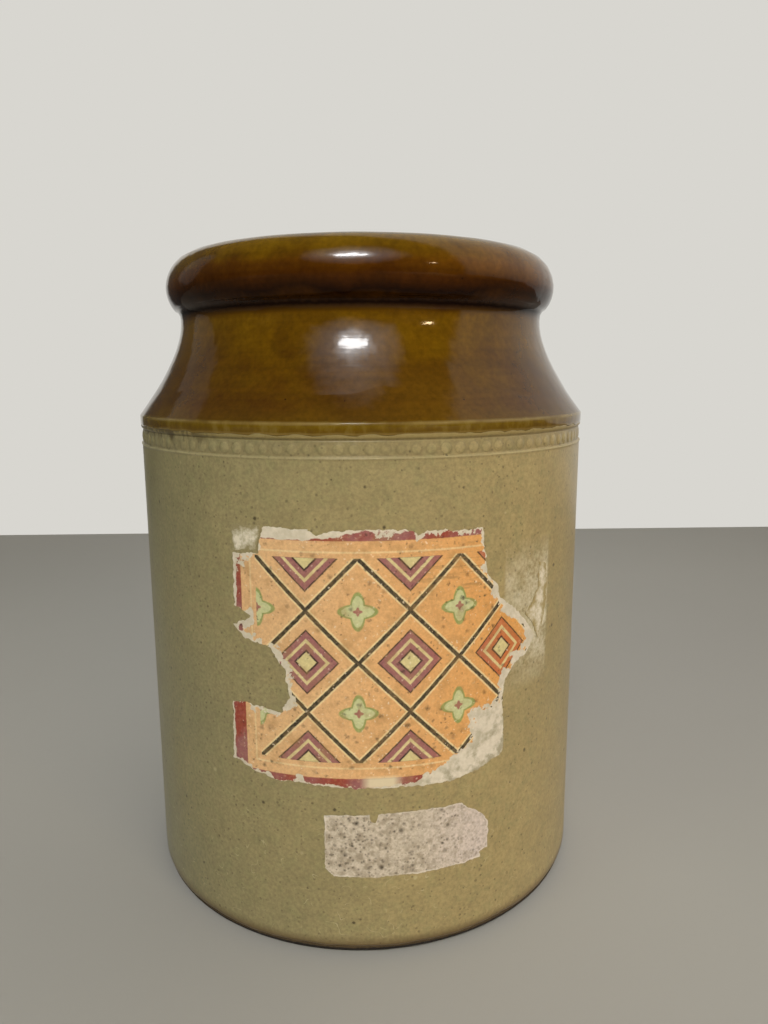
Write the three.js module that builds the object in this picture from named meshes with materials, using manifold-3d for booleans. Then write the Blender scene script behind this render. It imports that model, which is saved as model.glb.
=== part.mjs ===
// Wide-mouthed stoneware preserve jar: straight wall, concave shoulder, thick rolled lip, amber glaze over
// the top, buff glaze below it with a row of pressed beads, and two torn paper labels.
// Millimetres, +Z up along the jar's axis, standing on z = 0. The labels face -Y.
import * as THREE from "three";
import { mergeVertices } from "three/addons/utils/BufferGeometryUtils.js";
import Module from "manifold-3d";

const wasm = await Module();
wasm.setup();

// Driving dimensions of the finished jar, glaze included
const rimDiameter = 152; // at the shoulder edge, the widest place
const height = 208.6;
const shoulderHeight = 157.5;
const wallInset = 0.3; // the plain wall lies this far inside the shoulder edge
const footDiameter = 146;
const footRound = 2.6;
const neckDiameter = 123.2;
const neckFoot = 188; // the shoulder's curve ends here and the neck runs straight
const bendRise = 19.2; // from the shoulder edge to where the tangents of the shoulder's curve cross
const lipDiameter = 131.8;
const lipFoot = 190; // the rolled lip leaves the neck at this height
const lipMiddle = 197.8; // and is widest at this one
const lipCrown = 113; // diameter along the top of the lip
const mouthDiameter = 105;
const throatDiameter = 107;
const wallThickness = 8;
const floorThickness = 9;
const floorFillet = 8;
const innerNeckDrop = 6; // inside, the neck ends and the shoulder starts this much lower than outside
const innerShoulderDrop = 7;
const glazeThickness = 0.45;
const glazeSeat = 0.05; // between the fired clay and its glaze, and between the glaze and a label
const amberEdge = 154.3; // lower edge of the amber glaze outside
const amberThroat = 186; // and inside the throat
const footGlazeEdge = 3; // the clay is bare below this
const paperThickness = 0.15;

// The roller-pressed band just under the shoulder
const beadCount = 114;
const beadTurn = 1.45; // degrees from the front to the first bead
const beadDiameter = 3.5;
const beadRelief = 0.4;
const beadHeight = 150.5;
const grooveHeight = 152.9;
const grooveWidth = 0.8;
const grooveDepth = 0.2;
const ridgeHeight = 148.1;
const ridgeWidth = 0.8;
const bandDepth = 0.3; // the roller sinks the band this far into the wall

const segments = 52; // facets round the jar
const lipSteps = 3;
const shoulderSteps = 4;
const insideSteps = 3;
const roundSteps = 2;

// Radii worked out from the sizes above
const skin = glazeThickness + glazeSeat;
const rimRadius = rimDiameter / 2;
const wallRadius = rimRadius - wallInset;
const clayRim = rimRadius - skin;
const clayWall = wallRadius - skin;
const clayBand = clayWall - bandDepth;
const clayNeck = neckDiameter / 2 - skin;
const clayMouth = mouthDiameter / 2 + skin;
const clayThroat = throatDiameter / 2 + skin;
const innerWall = clayWall - wallThickness;
const clayLip = lipDiameter / 2 - skin;
const clayTop = height - skin;
const crownRadius = lipCrown / 2;
const mouthRound = crownRadius - clayMouth;
const shoulderBend = shoulderHeight + bendRise;
const edgeRound = 0.5;
const bandStep = 0.2; // half the height of the slope from the wall into the band

// Points of a line in the (radius, height) half-plane
function trace(draw, steps) {
  const path = new THREE.Path();
  draw(path);
  return path.getPoints(steps);
}

// The same line moved sideways, to the right of its direction of travel
function beside(points, distance) {
  const normals = points.slice(1).map((point, i) => {
    const along = point.clone().sub(points[i]).normalize();
    return new THREE.Vector2(along.y, -along.x);
  });
  return points.map((point, i) => {
    const before = normals[Math.max(i - 1, 0)];
    const after = normals[Math.min(i, normals.length - 1)];
    const mitre = before.clone().add(after).normalize();
    return point.clone().addScaledVector(mitre, distance / mitre.dot(after));
  });
}

function revolve(profile) {
  return new THREE.LatheGeometry(profile, segments).rotateX(Math.PI / 2);
}

// A coat of glaze on a line of the clay
function coat(clayLine) {
  const inner = beside(clayLine, glazeSeat);
  const outer = beside(clayLine, skin);
  return [...outer, ...inner.reverse(), outer[0].clone()];
}

function toSolid(geometry) {
  const bare = geometry.clone();
  bare.deleteAttribute("normal");
  bare.deleteAttribute("uv");
  const merged = mergeVertices(bare, 1e-4);
  const vertProperties = merged.getAttribute("position").array;
  const triVerts = new Uint32Array(merged.index.array);
  return new wasm.Manifold(new wasm.Mesh({ numProp: 3, vertProperties, triVerts }));
}

function toGeometry(solid) {
  const { vertProperties, triVerts } = solid.getMesh();
  const geometry = new THREE.BufferGeometry();
  geometry.setAttribute("position", new THREE.BufferAttribute(vertProperties, 3));
  geometry.setIndex(new THREE.BufferAttribute(triVerts, 1));
  geometry.computeVertexNormals();
  return geometry;
}

function piece(name, geometry, color, roughness) {
  const material = new THREE.MeshStandardMaterial({ color, roughness, metalness: 0 });
  const mesh = new THREE.Mesh(geometry, material);
  mesh.name = name;
  return mesh;
}

// Lines of the fired clay. Outside they run up, over the lip and down into the throat.
const shoulderLine = trace((path) => {
  path.moveTo(clayRim, amberEdge);
  path.lineTo(clayRim, shoulderHeight - edgeRound);
  path.lineTo(clayRim - edgeRound, shoulderHeight);
  path.quadraticCurveTo(clayNeck, shoulderBend, clayNeck, neckFoot);
}, shoulderSteps);

const lipLine = trace((path) => {
  const foot = lipFoot + skin;
  path.moveTo(clayNeck, foot);
  path.bezierCurveTo(clayNeck + 2.2, foot + 0.7, clayLip - 0.1, lipMiddle - 3.5, clayLip, lipMiddle);
  path.bezierCurveTo(clayLip, lipMiddle + 4.5, clayLip - 3.2, clayTop - 0.3, crownRadius, clayTop);
}, lipSteps);

const mouthLine = trace((path) => {
  path.moveTo(crownRadius, clayTop);
  path.quadraticCurveTo(clayMouth, clayTop, clayMouth, clayTop - mouthRound);
  path.lineTo(clayThroat, amberThroat);
}, roundSteps);

const topLine = [...shoulderLine, ...lipLine, ...mouthLine.slice(1)];

const insideLine = trace((path) => {
  path.moveTo(clayThroat, amberThroat);
  path.lineTo(clayThroat, neckFoot - innerNeckDrop);
  path.quadraticCurveTo(
    clayThroat,
    shoulderBend - innerNeckDrop,
    innerWall,
    shoulderHeight - innerShoulderDrop,
  );
  path.lineTo(innerWall, floorThickness + floorFillet);
  path.quadraticCurveTo(innerWall, floorThickness, innerWall - floorFillet, floorThickness);
  path.lineTo(0, floorThickness);
}, insideSteps);

const wallLine = trace((path) => {
  path.moveTo(footDiameter / 2, 0);
  path.quadraticCurveTo(clayWall, 0, clayWall, footRound);
  path.lineTo(clayWall, ridgeHeight - bandStep);
  path.lineTo(clayBand, ridgeHeight + bandStep);
  path.lineTo(clayBand, grooveHeight + bandStep);
  path.lineTo(clayRim, grooveHeight + grooveWidth + bandStep);
}, roundSteps);

function stonewareBody() {
  const axisFoot = new THREE.Vector2(0, 0);
  return revolve([axisFoot, ...wallLine, ...topLine, ...insideLine.slice(1)]);
}

function amberGlaze() {
  return revolve(coat(topLine));
}

function linerGlaze() {
  const start = new THREE.Vector2(clayThroat, amberThroat - glazeSeat);
  return revolve(coat([start, ...insideLine.slice(1)]));
}

// The buff glaze follows the pressed band: a groove, the field of the beads and a fine ridge under it.
function buffGlaze() {
  const field = wallRadius - bandDepth;
  const wallSeat = clayWall + glazeSeat;
  const bandSeat = clayBand + glazeSeat;
  const rimSeat = clayRim + glazeSeat;
  const top = amberEdge - glazeSeat;
  const profile = trace((path) => {
    path.moveTo(wallSeat, footGlazeEdge);
    path.lineTo(wallRadius, footGlazeEdge);
    path.lineTo(wallRadius, ridgeHeight - ridgeWidth / 2);
    path.lineTo(wallRadius + wallInset, ridgeHeight);
    path.lineTo(field, ridgeHeight + ridgeWidth / 2);
    path.lineTo(field, grooveHeight - grooveWidth / 2);
    path.lineTo(field - grooveDepth, grooveHeight);
    path.lineTo(rimRadius, grooveHeight + grooveWidth / 2);
    path.lineTo(rimRadius, top);
    path.lineTo(rimSeat, top);
    path.lineTo(rimSeat, grooveHeight + grooveWidth + bandStep);
    path.lineTo(bandSeat, grooveHeight + bandStep);
    path.lineTo(bandSeat, ridgeHeight + bandStep);
    path.lineTo(wallSeat, ridgeHeight - bandStep);
    path.lineTo(wallSeat, footGlazeEdge);
  }, 1);
  const bead = new THREE.SphereGeometry(1, 6, 3);
  bead.scale(beadDiameter / 2, beadRelief, beadDiameter / 2);
  bead.translate(0, -field, beadHeight);
  let solid = toSolid(revolve(profile));
  for (let i = 0; i < beadCount; i++) {
    const angle = THREE.MathUtils.degToRad(beadTurn + (360 * i) / beadCount);
    const turned = bead.clone().rotateZ(angle);
    solid = solid.add(toSolid(turned));
  }
  return toGeometry(solid);
}

// Paper pasted on the wall, cut to an outline seen from the front: x from the jar's centre line, and height.
function paper(outline) {
  const inner = wallRadius + glazeSeat;
  const outer = inner + paperThickness;
  const sleeve = [
    new THREE.Vector2(inner, 0),
    new THREE.Vector2(outer, 0),
    new THREE.Vector2(outer, shoulderHeight),
    new THREE.Vector2(inner, shoulderHeight),
    new THREE.Vector2(inner, 0),
  ];
  const shape = new THREE.Shape(outline.map(([x, z]) => new THREE.Vector2(x, z)));
  const cutter = new THREE.ExtrudeGeometry(shape, { depth: rimDiameter, bevelEnabled: false });
  cutter.rotateX(Math.PI / 2);
  return toGeometry(toSolid(revolve(sleeve)).intersect(toSolid(cutter)));
}

// What is left of each sheet, corner by corner round the tear
const mainOutline = [
  [-27.5, 129.3], [-15.3, 129.0], [-12.7, 127.2], [-7.4, 128.7], [1.6, 129.1], [13.3, 128.4], [15.0, 126.9],
  [17.1, 128.2], [33.1, 127.5], [34.3, 118.9], [34.7, 114.6], [37.9, 110.9], [38.8, 107.1], [42.1, 104.0],
  [46.8, 99.2], [51.3, 92.0], [48.0, 86.6], [43.8, 84.8], [41.4, 81.1], [40.3, 76.7], [41.2, 61.9],
  [40.4, 58.3], [33.2, 55.1], [22.1, 53.6], [-6.0, 54.3], [-26.2, 55.1], [-31.0, 56.0], [-39.0, 58.8],
  [-38.3, 76.4], [-35.1, 77.2], [-23.5, 75.7], [-21.1, 80.6], [-22.3, 88.7], [-26.7, 94.7], [-34.3, 96.8],
  [-37.2, 100.2], [-31.5, 103.2], [-36.8, 106.1], [-36.6, 121.2], [-29.0, 121.9],
];
const weightOutline = [
  [-12.2, 45.3], [0.7, 45.6], [1.3, 43.4], [2.5, 43.1], [3.7, 45.8], [28.2, 45.8], [29.8, 43.8],
  [35.0, 39.9], [36.4, 37.6], [36.6, 28.7], [33.8, 28.1], [34.1, 26.0], [-9.4, 26.0], [-12.0, 28.6],
];
const cornerOutline = [
  [-36.4, 129.2], [-28.3, 129.3], [-29.6, 122.6], [-36.5, 122.0],
];
const edgeOutline = [
  [52.6, 114.5], [54.9, 114.2], [55.8, 107.0], [55.4, 100.0], [54.2, 94.0], [52.6, 91.0], [50.0, 96.6],
  [47.8, 99.6], [50.5, 103.0], [52.3, 107.0],
];

const pot = new THREE.Group();
pot.add(
  piece("stoneware_body", stonewareBody(), 0x8c7550, 0.85),
  piece("amber_glaze", amberGlaze(), 0x6b4711, 0.12),
  piece("buff_glaze", buffGlaze(), 0x978a5c, 0.35),
  piece("liner_glaze", linerGlaze(), 0xa0936a, 0.3),
);

const papers = new THREE.Group();
papers.add(
  piece("main_label", paper(mainOutline), 0xdca264, 0.8),
  piece("weight_label", paper(weightOutline), 0xcfc6bb, 0.85),
  piece("corner_scrap", paper(cornerOutline), 0xb5a98a, 0.85),
  piece("edge_scrap", paper(edgeOutline), 0xc4b898, 0.85),
);

const jar = new THREE.Group();
jar.add(pot, papers);

export default jar;
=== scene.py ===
import math

import bpy
import numpy as np
from mathutils import Matrix, Vector, noise


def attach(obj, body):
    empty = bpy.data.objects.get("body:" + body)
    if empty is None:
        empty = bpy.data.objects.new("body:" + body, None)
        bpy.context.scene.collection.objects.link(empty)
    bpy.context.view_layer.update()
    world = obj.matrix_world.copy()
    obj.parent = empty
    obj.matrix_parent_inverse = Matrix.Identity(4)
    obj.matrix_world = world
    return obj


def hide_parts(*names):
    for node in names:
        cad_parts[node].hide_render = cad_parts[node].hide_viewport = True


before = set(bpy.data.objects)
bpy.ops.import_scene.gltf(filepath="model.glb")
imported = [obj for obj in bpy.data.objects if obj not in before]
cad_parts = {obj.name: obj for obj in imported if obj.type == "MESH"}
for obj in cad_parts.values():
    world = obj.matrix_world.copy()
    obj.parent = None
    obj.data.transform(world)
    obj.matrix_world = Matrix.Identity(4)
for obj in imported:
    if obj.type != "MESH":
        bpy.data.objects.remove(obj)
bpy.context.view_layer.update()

scene = bpy.context.scene
scene.view_settings.view_transform = "Standard"
mm = 0.001  # the sizes of pieces are in millimetres


# camera at the photo's place: a wide lens close to the jar, just above its middle
view = {"place": (0, -274.1, 169.6), "down": 10.21, "right": 1.589, "lean": 0.312, "lens": 26.64, "near": 10}
bpy.ops.object.camera_add()
camera = bpy.context.object
turn = Matrix.Rotation(math.radians(-view["right"]), 4, "Z")
tilt = Matrix.Rotation(math.radians(90 - view["down"]), 4, "X")
lean = Matrix.Rotation(math.radians(-view["lean"]), 4, "Z")
camera.matrix_world = Matrix.Translation(Vector(view["place"]) * mm) @ turn @ tilt @ lean
camera.data.lens = view["lens"]
camera.data.clip_start = view["near"] * mm
scene.camera = camera
print("camera set")


# hex colour as seen to the linear colour that a shader takes
def linearColour(code):
    parts = [int(code[i:i + 2], 16) / 255 for i in (1, 3, 5)]
    return (*[c / 12.92 if c <= 0.04045 else ((c + 0.055) / 1.055) ** 2.4 for c in parts], 1)


# adds a shader node with its settings and links, and hands back one of its outputs
def addNode(tree, kind, inputs={}, out=0, stops=(), **settings):
    node = tree.nodes.new("ShaderNode" + kind)
    for name, value in settings.items():
        setattr(node, name, value)
    for socket, value in inputs.items():
        if isinstance(value, bpy.types.NodeSocket):
            tree.links.new(value, node.inputs[socket])
        else:
            node.inputs[socket].default_value = value
    for i, (place, code) in enumerate(stops):
        if i > 1:
            node.color_ramp.elements.new(place)
        node.color_ramp.elements[i].position = place
        node.color_ramp.elements[i].color = linearColour(code)
    return node.outputs[out] if len(node.outputs) else node


def newMaterial(name):
    material = bpy.data.materials.new(name)
    material.use_nodes = True
    material.node_tree.nodes.clear()
    return material, material.node_tree


# points of a turned profile, as (radius, height): a curve with one pull, and the end part of one with two
def bend(start, pull, end, count):
    points = []
    for t in [i / count for i in range(count + 1)]:
        shares = ((1 - t) ** 2, 2 * t * (1 - t), t * t)
        points.append(tuple(sum(k * p[axis] for k, p in zip(shares, (start, pull, end))) for axis in (0, 1)))
    return points


def sweep(start, pulls, end, first, count):
    points = []
    for t in [first + (1 - first) * i / count for i in range(count + 1)]:
        shares = ((1 - t) ** 3, 3 * t * (1 - t) ** 2, 3 * t * t * (1 - t), t ** 3)
        points.append(tuple(sum(k * p[axis] for k, p in zip(shares, (start, *pulls, end))) for axis in (0, 1)))
    return points


# the same profile moved into the clay by a distance
def beside(line, distance):
    moved = []
    for i, (r, z) in enumerate(line):
        (r0, z0), (r1, z1) = line[max(i - 1, 0)], line[min(i + 1, len(line) - 1)]
        length = math.hypot(r1 - r0, z1 - z0)
        moved.append((r - (z1 - z0) / length * distance, z + (r1 - r0) / length * distance))
    return moved


# one vertex drawn along the profile, then spun about the jar's axis
def turnedPiece(name, line, steps):
    bpy.ops.object.select_all(action="DESELECT")
    bpy.ops.mesh.primitive_plane_add(size=2 * mm)
    piece = bpy.context.object
    piece.name = piece.data.name = name
    bpy.ops.object.mode_set(mode="EDIT")
    bpy.ops.mesh.select_all(action="SELECT")
    bpy.ops.mesh.merge(type="CENTER")
    bpy.ops.transform.translate(value=(line[0][0] * mm, 0, line[0][1] * mm))
    for (r0, z0), (r1, z1) in zip(line, line[1:]):
        move = {"value": ((r1 - r0) * mm, 0, (z1 - z0) * mm)}
        bpy.ops.mesh.extrude_region_move(TRANSFORM_OT_translate=move)
    bpy.ops.mesh.select_all(action="SELECT")
    bpy.ops.mesh.spin(steps=steps, angle=2 * math.pi, center=(0, 0, 0), axis=(0, 0, 1))
    bpy.ops.mesh.select_all(action="SELECT")
    bpy.ops.mesh.remove_doubles(threshold=0.002 * mm)
    bpy.ops.mesh.normals_make_consistent(inside=False)
    bpy.ops.object.mode_set(mode="OBJECT")
    bpy.ops.object.shade_smooth()
    print(name, len(piece.data.polygons), "faces")
    return piece


# moves the vertices of a weighted group by a cloud pattern, as uneven glaze or a potter's hand does
def uneven(piece, name, weight, size, detail, strength, direction, middle):
    group = piece.vertex_groups.new(name=name)
    for vertex in piece.data.vertices:
        share = weight(vertex.co / mm)
        if share > 0:
            group.add([vertex.index], share, "REPLACE")
    cloud = bpy.data.textures.new(name, type="CLOUDS")
    cloud.noise_scale = size * mm
    cloud.noise_depth = detail
    change = piece.modifiers.new(name, "DISPLACE")
    change.texture, change.texture_coords = cloud, "LOCAL"
    change.direction, change.strength, change.mid_level = direction, strength * mm, middle
    change.vertex_group = name
    bpy.context.view_layer.objects.active = piece
    bpy.ops.object.modifier_apply(modifier=name)
    piece.vertex_groups.remove(piece.vertex_groups[name])


def finishPiece(piece, material, node):
    piece.data.materials.clear()
    piece.data.materials.append(material)
    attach(piece, "root")
    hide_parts(node)


# amber glaze: the dipped top, from its run edge under the shoulder over the lip into the throat
amber = {
    "edge": (75.98, 154.3), "skirt": ((-0.11, 0), (-0.07, 0.25), (-0.03, 0.7), (0, 1.4), (0, 2.2)),
    "skirtBack": (2.3, 0.8, 0.1), "rounding": 0.5, "roundingHeight": 157.1, "shoulder": (75.88, 157.4),
    "shoulderPull": (61.6, 177.0), "neck": (61.6, 187.2), "crease": (61.6, 187.9), "creasePull": (61.6, 190.3),
    "lipStart": (61.9, 190.0), "underPulls": ((64.0, 190.7), (65.8, 194.2)), "underFrom": 0.24,
    "lipSide": (65.9, 197.8), "overPulls": ((65.9, 202.4), (62.6, 208.2)), "lipTop": (56.5, 208.55),
    "inPulls": ((54.2, 208.66), (52.5, 207.2)), "mouth": (52.5, 204.6), "throat": (53.5, 185.8), "throatRows": 8,
    "thick": 0.45, "thin": 0.12, "steps": 288, "markFade": 1.4, "runFade": 1.2, "wavesFrom": 158, "wavesFade": 9,
}
rim, low = amber["edge"]
skirt = [(rim + out, low + up) for out, up in amber["skirt"]]
bow, bowHeight = amber["rounding"], amber["roundingHeight"]
arc = [math.radians(degrees) for degrees in range(0, 36, 5)]
edgeRound = [(rim - bow + bow * math.cos(a), bowHeight + bow * math.sin(a)) for a in arc]
shoulder = bend(amber["shoulder"], amber["shoulderPull"], amber["neck"], count=40)
lipUnder = sweep(amber["lipStart"], amber["underPulls"], amber["lipSide"], amber["underFrom"], count=16)
crease = bend(amber["crease"], amber["creasePull"], lipUnder[0], count=10)
lipOver = sweep(amber["lipSide"], amber["overPulls"], amber["lipTop"], first=0, count=20)
lipIn = sweep(amber["lipTop"], amber["inPulls"], amber["mouth"], first=0, count=10)
down = [i / amber["throatRows"] for i in range(1, amber["throatRows"] + 1)]
throat = [tuple(m + (t - m) * share for m, t in zip(amber["mouth"], amber["throat"])) for share in down]
upper = shoulder + crease + lipUnder[1:] + lipOver[1:] + lipIn[1:] + throat
amberOut = skirt + edgeRound + upper
amberIn = beside(edgeRound[4:] + upper, amber["thick"])[::4][::-1]
amberIn += [(rim - amber["thin"], low + up) for up in amber["skirtBack"]]
amberGlaze = turnedPiece("amberGlaze", amberOut + amberIn + amberOut[:1], amber["steps"])
mark = amberGlaze.data.attributes.new("runEdge", "FLOAT", "POINT")  # 0 where the run stops, 1 above it
for vertex, value in zip(amberGlaze.data.vertices, mark.data):
    value.value = min(1, max(0, (vertex.co.z / mm - low) / amber["markFade"]))


def nearRun(point):
    return min(1, max(0, 1 - (point.z - low) / amber["runFade"]))


def aboveEdge(point):
    return min(1, max(0, (point.z - amber["wavesFrom"]) / amber["wavesFade"]))


uneven(amberGlaze, "runEdge", nearRun, size=5, detail=3, strength=1.5, direction="Z", middle=0.55)
uneven(amberGlaze, "thrown", aboveEdge, size=34, detail=1, strength=0.35, direction="NORMAL", middle=1.0)
uneven(amberGlaze, "pooled", aboveEdge, size=11, detail=0, strength=0.1, direction="NORMAL", middle=1.0)

# buff glaze: the plain wall with its roller-pressed band of groove, beads and ridge
buff = {
    "foot": [(75.26, 3.0), (75.4, 2.94), (75.52, 3.2), (75.62, 3.7), (75.68, 4.4), (75.7, 5.4)],
    "footFull": 3.3, "footHalf": 4,
    "wall": 75.7, "wallRows": (9, 16, 24, 36, 48, 60, 72, 84, 96, 108, 120, 132, 140, 145, 147.3),
    "ridge": [(75.71, 147.6), (75.8, 147.8), (75.92, 148.0), (75.92, 148.12), (75.9, 148.28), (75.62, 148.45),
              (75.39, 148.6)],
    "field": 75.34, "fieldLow": 148.7, "fieldHigh": 152.35, "fieldRows": 15,
    "groove": [(75.36, 152.52), (75.28, 152.7), (75.22, 152.88), (75.3, 153.06), (75.55, 153.24), (75.76, 153.46),
               (75.86, 153.8)],
    "top": [(75.88, 154.4), (75.88, 155.4), (75.87, 156.4)],
    "back": [(75.56, 156.4), (75.56, 153.9), (74.95, 153.0), (74.95, 148.4), (75.25, 147.8), (75.25, 80), (75.26, 3.0)],
    "beads": 114, "beadTurn": 1.45, "beadHeight": 150.5, "beadSize": 3.5, "beadRelief": 0.34, "beadFlat": 2.3,
    "beadFull": 0.8, "beadFrom": 75.3, "beadDepth": (0.8, 0.5, 0.3), "stepsPerBead": 12,
}
wallLine = [(buff["wall"], z) for z in buff["wallRows"]]
tall, rows = buff["fieldHigh"] - buff["fieldLow"], buff["fieldRows"]
fieldLine = [(buff["field"], buff["fieldLow"] + tall * i / (rows - 1)) for i in range(rows)]
buffLine = buff["foot"] + wallLine + buff["ridge"] + fieldLine + buff["groove"] + buff["top"] + buff["back"]
buffGlaze = turnedPiece("buffGlaze", buffLine, buff["beads"] * buff["stepsPerBead"])


def nearFoot(point):
    return 1 if point.z < buff["footFull"] else 0.5 if point.z < buff["footHalf"] else 0


uneven(buffGlaze, "footEdge", nearFoot, size=9, detail=3, strength=1.0, direction="Z", middle=0.5)


# raises the beads from the fine rows of the field, each a little different where glaze filled the roller's mark
def pressBeads(piece):
    co = np.zeros(len(piece.data.vertices) * 3)
    piece.data.vertices.foreach_get("co", co)
    co = co.reshape(-1, 3) / mm
    radius = np.hypot(co[:, 0], co[:, 1])
    angle = np.degrees(np.arctan2(co[:, 0], -co[:, 1])) - buff["beadTurn"]
    pitch = 360 / buff["beads"]
    number = np.round(angle / pitch)
    along = np.radians(angle - number * pitch) * buff["field"]
    reach = np.hypot(along, co[:, 2] - buff["beadHeight"]) / (buff["beadSize"] / 2)
    slow = np.array([noise.noise((n * 0.21, 4.1, 0.6)) for n in number])
    quick = np.array([noise.noise((n * 1.7, 9.3, 2.2)) for n in number])
    usual, slowShare, quickShare = buff["beadDepth"]
    depth = usual + slowShare * slow + quickShare * quick
    rise = np.clip(1 - reach ** buff["beadFlat"], 0, None) ** buff["beadFull"] * depth * (radius > buff["beadFrom"])
    for axis in (0, 1):
        co[:, axis] *= 1 + rise * buff["beadRelief"] / radius
    piece.data.vertices.foreach_set("co", (co * mm).ravel())
    mark = piece.data.attributes.new("bead", "FLOAT", "POINT")
    mark.data.foreach_set("value", rise.astype(np.float32))
    piece.data.update()


pressBeads(buffGlaze)

# liner glaze: the inside below the throat
liner = {
    "throat": (53.5, 185.7), "neck": (53.5, 182.0), "pull": (53.5, 170.7), "wall": (66.7, 150.5),
    "wallRows": (130, 105, 80, 55, 32), "floor": 9.5, "floorRows": (48, 34, 20, 8, 0), "fillet": 8.0,
    "thick": 0.45, "steps": 160,
}
side, base, fillet = liner["wall"][0], liner["floor"], liner["fillet"]
linerOut = [liner["throat"]] + bend(liner["neck"], liner["pull"], liner["wall"], count=20)
linerOut += [(side, z) for z in liner["wallRows"]]
linerOut += bend((side, base + fillet), (side, base), (side - fillet, base), count=10)
linerOut += [(r, base) for r in liner["floorRows"]]
linerBack = beside(linerOut, liner["thick"])[::-1]
linerGlaze = turnedPiece("linerGlaze", linerOut + linerBack + linerOut[:1], liner["steps"])

# stoneware: the clay itself, bare only at the foot and the underside
clay = {
    "baseRows": (0, 20, 40, 58, 69), "base": 72.4, "wall": 75.2, "footRise": 3.0,
    "outside": [(75.2, 80), (75.2, 147.8), (74.9, 148.4), (74.9, 152.9), (75.45, 153.9)],
    "floor": 9.0, "under": 0.5, "steps": 192,
}
clayLine = [(r, 0) for r in clay["baseRows"]]
clayLine += bend((clay["base"], 0), (clay["wall"], 0), (clay["wall"], clay["footRise"]), count=10) + clay["outside"]
lipClay = lipUnder[1::2] + lipOver[1::2] + lipIn[1:]
clayLine += beside(edgeRound[4:] + shoulder[::2] + crease + lipClay + throat, clay["under"])[1:]
clayLine += beside(linerOut, clay["under"])[1:-1] + [(0, clay["floor"])]
stonewareBody = turnedPiece("stonewareBody", clayLine, clay["steps"])

# papers: what is left of each sheet, corner by corner round the tear, as (x seen from the front, height)
papers = {
    "mainLabel": {
        "corners": [
            (-27.5, 129.3), (-15.3, 129.0), (-12.7, 127.2), (-7.4, 128.7), (1.6, 129.1), (13.3, 128.4), (15.0, 126.9),
            (17.1, 128.2), (33.1, 127.5), (34.3, 118.9), (34.7, 114.6), (37.9, 110.9), (38.8, 107.1), (42.1, 104.0),
            (46.8, 99.2), (51.3, 92.0), (48.0, 86.6), (43.8, 84.8), (41.4, 81.1), (40.3, 76.7), (41.2, 61.9),
            (40.4, 58.3), (33.2, 55.1), (22.1, 53.6), (-6.0, 54.3), (-26.2, 55.1), (-31.0, 56.0), (-39.0, 58.8),
            (-38.3, 76.4), (-35.1, 77.2), (-23.5, 75.7), (-21.1, 80.6), (-22.3, 88.7), (-26.7, 94.7), (-34.3, 96.8),
            (-37.2, 100.2), (-31.5, 103.2), (-36.8, 106.1), (-36.6, 121.2), (-29.0, 121.9)],
        "ragged": 0.5, "grid": 1.1, "seed": 3.0},
    "weightLabel": {
        "corners": [
            (-12.2, 45.3), (0.7, 45.6), (1.3, 43.4), (2.5, 43.1), (3.7, 45.8), (28.2, 45.8), (29.8, 43.8),
            (35.0, 39.9), (36.4, 37.6), (36.6, 28.7), (33.8, 28.1), (34.1, 26.0), (-9.4, 26.0), (-12.0, 28.6)],
        "ragged": 0.3, "grid": 1.25, "seed": 11.0},
    "cornerScrap": {
        "corners": [(-36.4, 129.2), (-28.3, 129.3), (-29.6, 122.6), (-36.5, 122.0)],
        "ragged": 0.4, "grid": 0.8, "seed": 17.0},
    "edgeScrap": {
        "corners": [
            (52.6, 114.5), (54.9, 114.2), (55.8, 107.0), (55.4, 100.0), (54.2, 94.0), (52.6, 91.0), (50.0, 96.6),
            (47.8, 99.6), (50.5, 103.0), (52.3, 107.0)],
        "ragged": 0.6, "grid": 0.8, "seed": 23.0},
}
paste = {
    "radius": 75.72, "thick": 0.13, "step": 0.35, "lift": 0.05, "bubble": 7, "gridShift": 0.37, "crisp": 40,
    "tears": ((4.0, 1.0), (1.7, 0.9), (0.8, 0.7)),
}


# a fine line round the sheet, shaken by noise at the size of torn fibres
def tornLine(sheet):
    corners = [(paste["radius"] * math.asin(x / paste["radius"]), z) for x, z in sheet["corners"]]
    line = []
    for (a0, z0), (a1, z1) in zip(corners, corners[1:] + corners[:1]):
        count = max(1, round(math.hypot(a1 - a0, z1 - z0) / paste["step"]))
        line += [(a0 + (a1 - a0) * i / count, z0 + (z1 - z0) * i / count) for i in range(count)]
    torn = []
    for a, z in line:
        shake = [0, 0]
        for axis in (0, 1):
            for size, share in paste["tears"]:
                shake[axis] += share * noise.noise((a / size, z / size, sheet["seed"] + 7 * axis))
        torn.append((a + sheet["ragged"] * shake[0], z + sheet["ragged"] * shake[1]))
    return torn


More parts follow.
